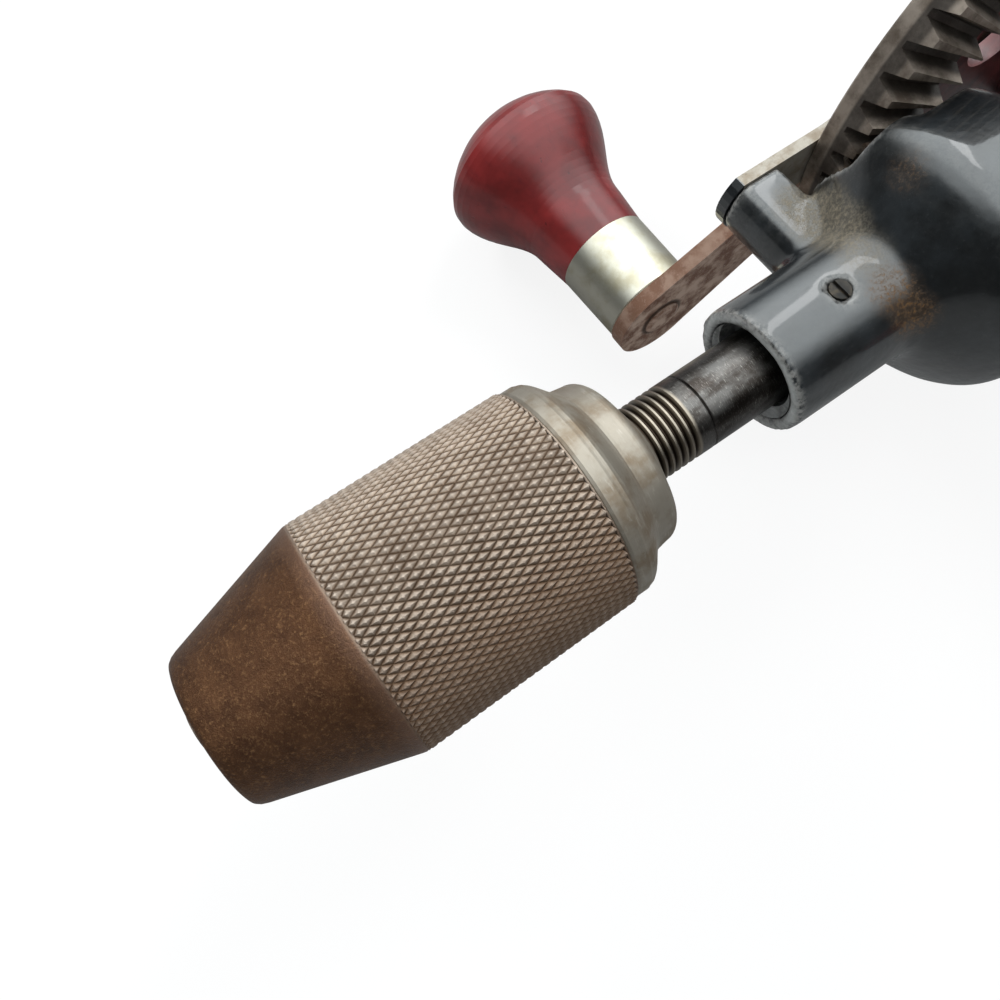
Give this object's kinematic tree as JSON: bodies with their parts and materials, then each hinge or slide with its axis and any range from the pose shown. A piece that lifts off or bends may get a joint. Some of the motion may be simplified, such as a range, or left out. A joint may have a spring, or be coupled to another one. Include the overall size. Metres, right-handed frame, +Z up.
{
  "type": "breast_drill",
  "caption": "Old breast drill with a knurled jaw chuck, an open bevel gear wheel, a flat steel crank with a red bell-shaped knob, a side handle and a dished breast plate",
  "frame": {"origin": "Centre of the chuck's mouth, on the spindle axis", "axes": "+X is the way the drill bores, +Z is up, and the crank and its gear wheel are on the -Y side"},
  "size_m": [0.4222, 0.2484, 0.1332],
  "materials": {
    "knurled_steel": "worn",
    "dark_steel": "worn",
    "bright_steel": "satin",
    "rusty_steel": "rusted",
    "nickel": "worn",
    "bush_brass": "satin",
    "black_enamel": "gloss, worn",
    "wheel_iron": "painted web, bare teeth",
    "red_wood": "gloss lacquer"
  },
  "bodies": {
    "frame_body": {"frame": "black_enamel", "front_bush": "bush_brass", "rear_bush": "bush_brass", "thrust_ball": "bright_steel", "thrust_plug": "dark_steel", "bush_screw": "dark_steel", "hub_bush": "bush_brass", "side_plate": "bright_steel", "plate_screw": "dark_steel", "plate_bush": "bush_brass", "shank": "dark_steel", "shank_pin": "bright_steel", "breast_plate": "black_enamel", "breast_screw": "dark_steel", "side_stud": "dark_steel", "side_ferrule": "nickel", "side_handle": "red_wood"},
    "crank_body": {"gear_wheel": "wheel_iron", "gear_pin": "bright_steel", "crank_shaft": "dark_steel", "crank_arm": "rusty_steel", "crank_washer": "dark_steel", "crank_nut": "dark_steel", "crank_pin": "rusty_steel", "pin_washer": "bright_steel"},
    "knob_body": {"crank_ferrule": "nickel", "crank_knob": "red_wood"},
    "spindle_body": {"spindle": "dark_steel", "pinion": "dark_steel", "pinion_pin": "bright_steel", "pinion_washer": "bush_brass", "chuck_body": "nickel"},
    "sleeve_body": {"chuck_sleeve": "knurled_steel", "chuck_ring": "dark_steel"},
    "jaw_1_body": {"jaw_1": "dark_steel"},
    "jaw_2_body": {"jaw_2": "dark_steel"},
    "jaw_3_body": {"jaw_3": "dark_steel"}
  },
  "joints": [
    {"name": "crank_spin", "type": "hinge", "parent": "frame_body", "child": "crank_body", "pos_m": [-0.227, 0, 0], "axis": [0, -1, 0], "continuous": true},
    {"name": "spindle_spin", "type": "hinge", "parent": "frame_body", "child": "spindle_body", "pos_m": [-0.1, 0, 0], "axis": [1, 0, 0], "continuous": true},
    {"name": "knob_spin", "type": "hinge", "parent": "crank_body", "child": "knob_body", "pos_m": [-0.13489, -0.08, -0.04473], "axis": [0, -1, 0], "continuous": true},
    {"name": "sleeve_turn", "type": "hinge", "parent": "spindle_body", "child": "sleeve_body", "pos_m": [-0.04, 0, 0], "axis": [1, 0, 0], "range_deg": [-2577.6, 1310.4]},
    {"name": "jaw_1_slide", "type": "slide", "parent": "spindle_body", "child": "jaw_1_body", "axis": [0.9848, 0, -0.1736], "range_m": [-0.0179, 0.0091]},
    {"name": "jaw_2_slide", "type": "slide", "parent": "spindle_body", "child": "jaw_2_body", "axis": [0.9848, -0.1504, 0.0868], "range_m": [-0.0179, 0.0091]},
    {"name": "jaw_3_slide", "type": "slide", "parent": "spindle_body", "child": "jaw_3_body", "axis": [0.9848, 0.1504, 0.0868], "range_m": [-0.0179, 0.0091]}
  ],
  "couplings": [
    {"joint": "spindle_spin", "follows": "crank_spin", "ratio": -2.6667},
    {"joint": "jaw_1_slide", "follows": "sleeve_turn", "m_per_rad": 0.00039789},
    {"joint": "jaw_2_slide", "follows": "sleeve_turn", "m_per_rad": 0.00039789},
    {"joint": "jaw_3_slide", "follows": "sleeve_turn", "m_per_rad": 0.00039789}
  ]
}
